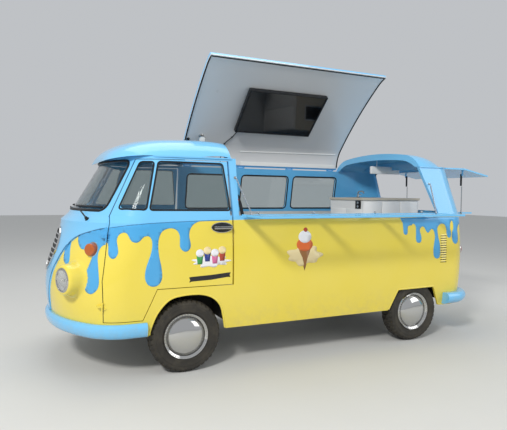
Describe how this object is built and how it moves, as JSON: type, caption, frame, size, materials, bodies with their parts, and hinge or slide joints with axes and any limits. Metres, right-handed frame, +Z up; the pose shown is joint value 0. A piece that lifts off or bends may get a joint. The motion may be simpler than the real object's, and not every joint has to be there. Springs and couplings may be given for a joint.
{
  "type": "ice cream truck",
  "caption": "Rounded forward-control microbus made into an ice cream truck, with a roof flap, a side serving shelf and a rear hatch, all shown open.",
  "frame": {"origin": "on the ground, on the centre line, halfway between the two axles", "axes": "+X from the nose to the tail, +Y away from the serving side, +Z up"},
  "size_m": [4.7351, 2.2302, 2.8159],
  "materials": {
    "body_blue": "satin",
    "body_yellow": "satin",
    "chassis_black": "matt",
    "liner_white": "satin",
    "chrome": "polished",
    "steel": "brushed",
    "glass": "clear",
    "lamp_glass": "gloss",
    "amber": "gloss",
    "red_lens": "gloss",
    "tyre": "matt",
    "seat_vinyl": "satin",
    "black_plastic": "matt",
    "counter_white": "gloss"
  },
  "bodies": {
    "body": {"nose_panel": "body_yellow", "front_arches": "body_yellow", "cab_frame": "body_blue", "left_side": "body_yellow", "right_side": "body_yellow", "rear_end": "body_yellow", "cab_roof": "body_blue", "rear_roof": "body_blue", "floor_pan": "chassis_black", "wheel_houses": "chassis_black", "underframe": "chassis_black", "motor": "steel", "front_axle": "chassis_black", "rear_axle": "chassis_black", "front_bumper": "body_blue", "rear_bumper": "body_blue", "headlamps": "lamp_glass", "indicators": "amber", "tail_lamps": "red_lens", "nose_emblem": "chrome", "windscreen": "glass", "side_glass": "glass", "seat_base": "chassis_black", "seat_cushions": "seat_vinyl", "dashboard": "body_blue", "steering_wheel": "black_plastic", "counter": "counter_white", "counter_top": "steel"},
    "knuckle_left": {"knuckle_left": "steel"},
    "door_left": {"door_left": "body_yellow", "door_glass_left": "glass"},
    "wheel_front_left": {"tyre_front_left": "tyre", "wheel_front_left": "chrome"},
    "wheel_rear_left": {"tyre_rear_left": "tyre", "wheel_rear_left": "chrome"},
    "knuckle_right": {"knuckle_right": "steel"},
    "door_right": {"door_right": "body_yellow", "door_glass_right": "glass"},
    "wheel_front_right": {"tyre_front_right": "tyre", "wheel_front_right": "chrome"},
    "wheel_rear_right": {"tyre_rear_right": "tyre", "wheel_rear_right": "chrome"},
    "roof_flap": {"roof_flap": "body_blue", "flap_liner": "liner_white", "flap_screen": "black_plastic"},
    "side_shelf": {"side_shelf": "steel", "shelf_panes": "glass"},
    "rear_hatch": {"rear_hatch": "body_blue"},
    "hatch_struts": {"hatch_struts": "black_plastic"},
    "rear_shelf": {"rear_shelf": "steel"},
    "shelf_struts": {"shelf_struts": "chrome"},
    "motor_lid": {"motor_lid": "body_yellow"}
  },
  "joints": [
    {"name": "steer_left", "type": "hinge", "parent": "body", "child": "knuckle_left", "pos_m": [-1.2, -0.672, 0.3], "axis": [0, 0, 1], "range_deg": [-30, 30]},
    {"name": "door_left_hinge", "type": "hinge", "parent": "body", "child": "door_left", "pos_m": [-1.868, -0.829, 0.6], "axis": [-0.0712, -0.09, -0.9934], "range_deg": [0, 70]},
    {"name": "wheel_front_left_spin", "type": "hinge", "parent": "knuckle_left", "child": "wheel_front_left", "pos_m": [-1.2, -0.764, 0.3], "axis": [0, 1, 0], "continuous": true},
    {"name": "wheel_rear_left_spin", "type": "hinge", "parent": "body", "child": "wheel_rear_left", "pos_m": [1.2, -0.764, 0.3], "axis": [0, 1, 0], "continuous": true},
    {"name": "steer_right", "type": "hinge", "parent": "body", "child": "knuckle_right", "pos_m": [-1.2, 0.672, 0.3], "axis": [0, 0, 1], "range_deg": [-30, 30]},
    {"name": "door_right_hinge", "type": "hinge", "parent": "body", "child": "door_right", "pos_m": [-1.868, 0.829, 0.6], "axis": [0.0712, -0.09, 0.9934], "range_deg": [0, 70]},
    {"name": "wheel_front_right_spin", "type": "hinge", "parent": "knuckle_right", "child": "wheel_front_right", "pos_m": [-1.2, 0.764, 0.3], "axis": [0, 1, 0], "continuous": true},
    {"name": "wheel_rear_right_spin", "type": "hinge", "parent": "body", "child": "wheel_rear_right", "pos_m": [1.2, 0.764, 0.3], "axis": [0, 1, 0], "continuous": true},
    {"name": "roof_flap_hinge", "type": "hinge", "parent": "body", "child": "roof_flap", "pos_m": [0.26, 0.772, 1.784], "axis": [1, 0, 0], "range_deg": [0, 43]},
    {"name": "side_shelf_hinge", "type": "hinge", "parent": "body", "child": "side_shelf", "pos_m": [0.33, -0.884, 1.276], "axis": [-1, 0, 0], "range_deg": [0, 100]},
    {"name": "rear_hatch_hinge", "type": "hinge", "parent": "body", "child": "rear_hatch", "pos_m": [1.852, 0, 1.764], "axis": [0, 1, 0], "range_deg": [0, 60]},
    {"name": "hatch_struts_hinge", "type": "hinge", "parent": "rear_hatch", "child": "hatch_struts", "pos_m": [2.22224, 0, 1.71868], "axis": [0, 1, 0], "range_deg": [-1, 95]},
    {"name": "rear_shelf_hinge", "type": "hinge", "parent": "body", "child": "rear_shelf", "pos_m": [2.018, 0, 1.262], "axis": [0, 1, 0], "range_deg": [-1, 91]},
    {"name": "shelf_struts_hinge", "type": "hinge", "parent": "rear_shelf", "child": "shelf_struts", "pos_m": [2.235, 0, 1.277], "axis": [0, -1, 0], "range_deg": [-1, 91]},
    {"name": "motor_lid_hinge", "type": "hinge", "parent": "body", "child": "motor_lid", "pos_m": [2.02, 0, 0.833], "axis": [0, -1, 0], "range_deg": [0, 75]}
  ],
  "couplings": [
    {"joint": "steer_right", "follows": "steer_left", "ratio": 1},
    {"joint": "hatch_struts_hinge", "follows": "rear_hatch_hinge", "ratio": 1.5667},
    {"joint": "rear_shelf_hinge", "follows": "rear_hatch_hinge", "ratio": 1.5},
    {"joint": "shelf_struts_hinge", "follows": "rear_hatch_hinge", "ratio": 1.5}
  ]
}
